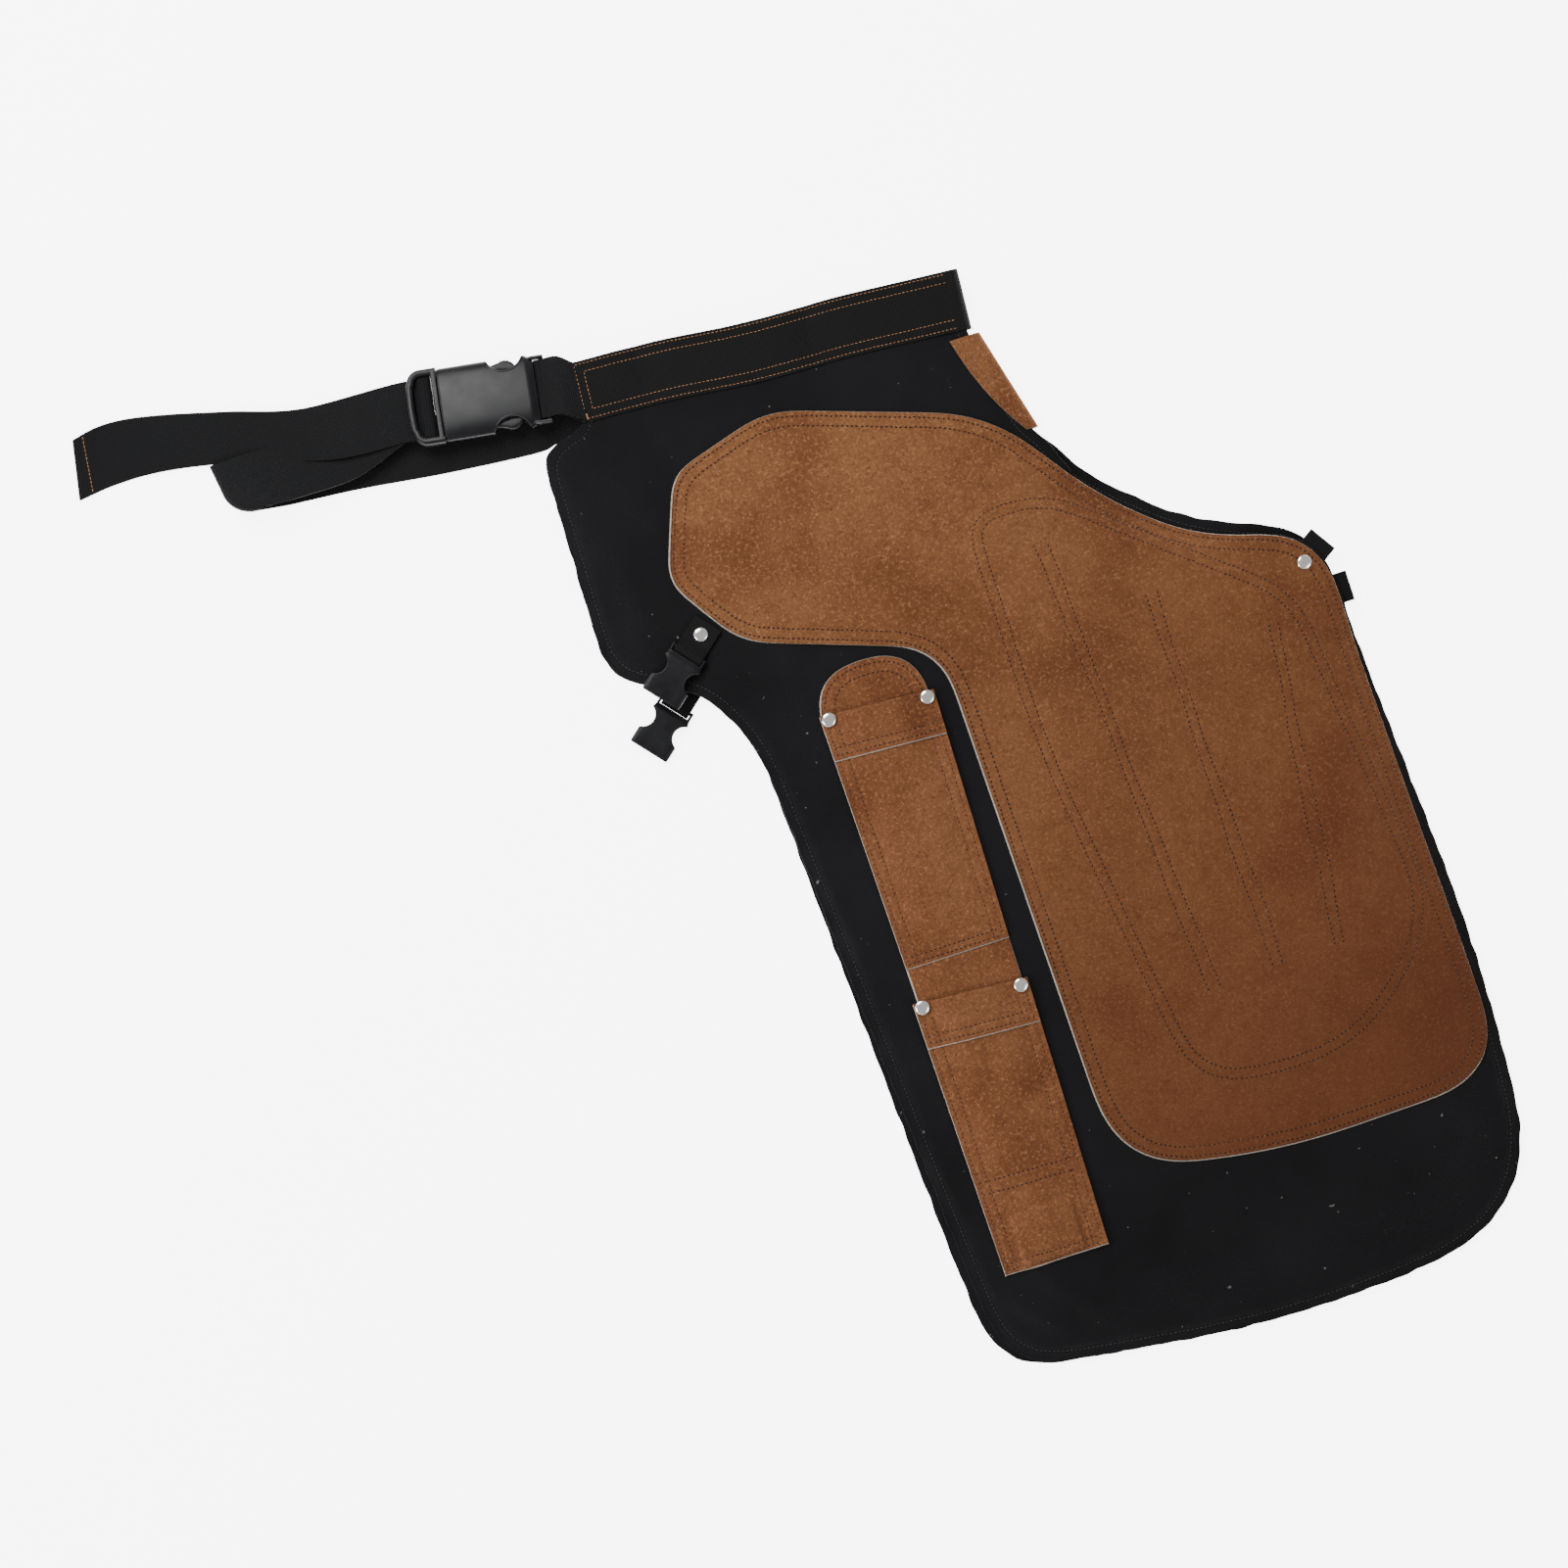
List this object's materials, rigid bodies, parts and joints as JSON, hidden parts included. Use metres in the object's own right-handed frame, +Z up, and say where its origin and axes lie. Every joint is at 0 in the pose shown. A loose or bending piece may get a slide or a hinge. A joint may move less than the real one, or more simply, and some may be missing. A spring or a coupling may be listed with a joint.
{
  "type": "welding apron",
  "caption": "Split-leg canvas and suede welding apron, folded flat on its centre line, with tool pockets, magnets and side-release buckles.",
  "frame": {"origin": "bottom centre of the folded apron's bounding box, on the surface it lies on", "axes": "+Z up through the fold's layers, -Y down the legs, +X from the belt's tail towards the inner thigh"},
  "size_m": [0.975, 0.9964, 0.0262],
  "materials": {
    "canvas": "black cotton canvas, matte, with pale lint",
    "suede": "tan split suede, brushed nap, mottled brown",
    "webbing": "black ribbed webbing, low sheen",
    "buckle_plastic": "satin moulded black plastic",
    "nickel": "polished nickel rivet caps",
    "magnet": "plated magnet"
  },
  "bodies": {
    "root": {"top_leg_panel": "canvas", "under_leg_panel": "canvas", "waistband": "webbing", "centre_patch": "suede", "top_wear_patch": "suede", "under_wear_patch": "suede", "top_patch_lining": "suede", "under_patch_lining": "suede", "top_pocket_backing": "suede", "under_pocket_backing": "suede", "top_upper_pocket": "suede", "under_upper_pocket": "suede", "top_lower_pocket": "suede", "under_lower_pocket": "suede", "top_pocket_magnet": "magnet", "under_pocket_magnet": "magnet", "top_pocket_rivet_1": "nickel", "top_pocket_rivet_2": "nickel", "top_pocket_rivet_3": "nickel", "top_pocket_rivet_4": "nickel", "under_pocket_rivet_1": "nickel", "under_pocket_rivet_2": "nickel", "under_pocket_rivet_3": "nickel", "under_pocket_rivet_4": "nickel", "top_tab_rivet": "nickel", "under_tab_rivet": "nickel", "top_strap_rivet": "nickel", "under_strap_rivet": "nickel", "top_leg_tab": "webbing", "under_leg_tab": "webbing", "top_leg_strap": "webbing", "under_leg_strap": "webbing", "top_leg_plug": "buckle_plastic", "under_leg_plug": "buckle_plastic", "waist_socket": "buckle_plastic", "waist_socket_tab": "webbing", "belt_run": "webbing"},
    "waist_plug": {"waist_plug": "buckle_plastic", "belt_tail": "webbing"},
    "waist_latch_left": {"waist_latch_left": "buckle_plastic"},
    "waist_latch_right": {"waist_latch_right": "buckle_plastic"},
    "top_leg_latch_left": {"top_leg_latch_left": "buckle_plastic"},
    "top_leg_latch_right": {"top_leg_latch_right": "buckle_plastic"},
    "under_leg_latch_left": {"under_leg_latch_left": "buckle_plastic"},
    "under_leg_latch_right": {"under_leg_latch_right": "buckle_plastic"},
    "top_leg_socket": {"top_leg_socket": "buckle_plastic"},
    "under_leg_socket": {"under_leg_socket": "buckle_plastic"}
  },
  "joints": [
    {"name": "waist_release", "type": "slide", "parent": "root", "child": "waist_plug", "axis": [-0.9882, 0.153, 0], "range_m": [0, 0.07], "deforming": ["belt_run", "waist_latch_left", "waist_latch_right"]},
    {"name": "waist_latch_left_press", "type": "hinge", "parent": "waist_plug", "child": "waist_latch_left", "pos_m": [-0.18612, 0.40169, 0.0089], "axis": [0, 0, 1], "range_deg": [0, 6], "stiffness_Nm_per_rad": 0.3},
    {"name": "waist_latch_right_press", "type": "hinge", "parent": "waist_plug", "child": "waist_latch_right", "pos_m": [-0.17854, 0.45071, 0.0089], "axis": [0, 0, 1], "range_deg": [-6, 0], "stiffness_Nm_per_rad": 0.3},
    {"name": "top_leg_latch_left_press", "type": "hinge", "parent": "root", "child": "top_leg_latch_left", "pos_m": [0.23944, -0.0354, 0.0117], "axis": [0, 0, 1], "range_deg": [0, 8], "stiffness_Nm_per_rad": 0.15},
    {"name": "top_leg_latch_right_press", "type": "hinge", "parent": "root", "child": "top_leg_latch_right", "pos_m": [0.25392, -0.05771, 0.0117], "axis": [0, 0, 1], "range_deg": [-8, 0], "stiffness_Nm_per_rad": 0.15},
    {"name": "under_leg_latch_left_press", "type": "hinge", "parent": "root", "child": "under_leg_latch_left", "pos_m": [0.19343, 0.07026, 0.0117], "axis": [0, 0, 1], "range_deg": [0, 8], "stiffness_Nm_per_rad": 0.15},
    {"name": "under_leg_latch_right_press", "type": "hinge", "parent": "root", "child": "under_leg_latch_right", "pos_m": [0.19343, 0.04366, 0.0117], "axis": [0, 0, 1], "range_deg": [-8, 0], "stiffness_Nm_per_rad": 0.15},
    {"name": "top_leg_socket_swing", "type": "hinge", "parent": "root", "child": "top_leg_socket", "pos_m": [-0.05006, 0.17039, 0.0217], "axis": [-0.6428, 0.766, 0], "range_deg": [0, 95]},
    {"name": "under_leg_socket_swing", "type": "hinge", "parent": "root", "child": "under_leg_socket", "pos_m": [-0.07317, 0.13296, 0.0045], "axis": [-0.6428, 0.766, 0], "range_deg": [0, 35]}
  ],
  "couplings": [
    {"joint": "waist_latch_right_press", "follows": "waist_latch_left_press", "ratio": -1},
    {"joint": "top_leg_latch_right_press", "follows": "top_leg_latch_left_press", "ratio": -1},
    {"joint": "under_leg_latch_right_press", "follows": "under_leg_latch_left_press", "ratio": -1}
  ]
}
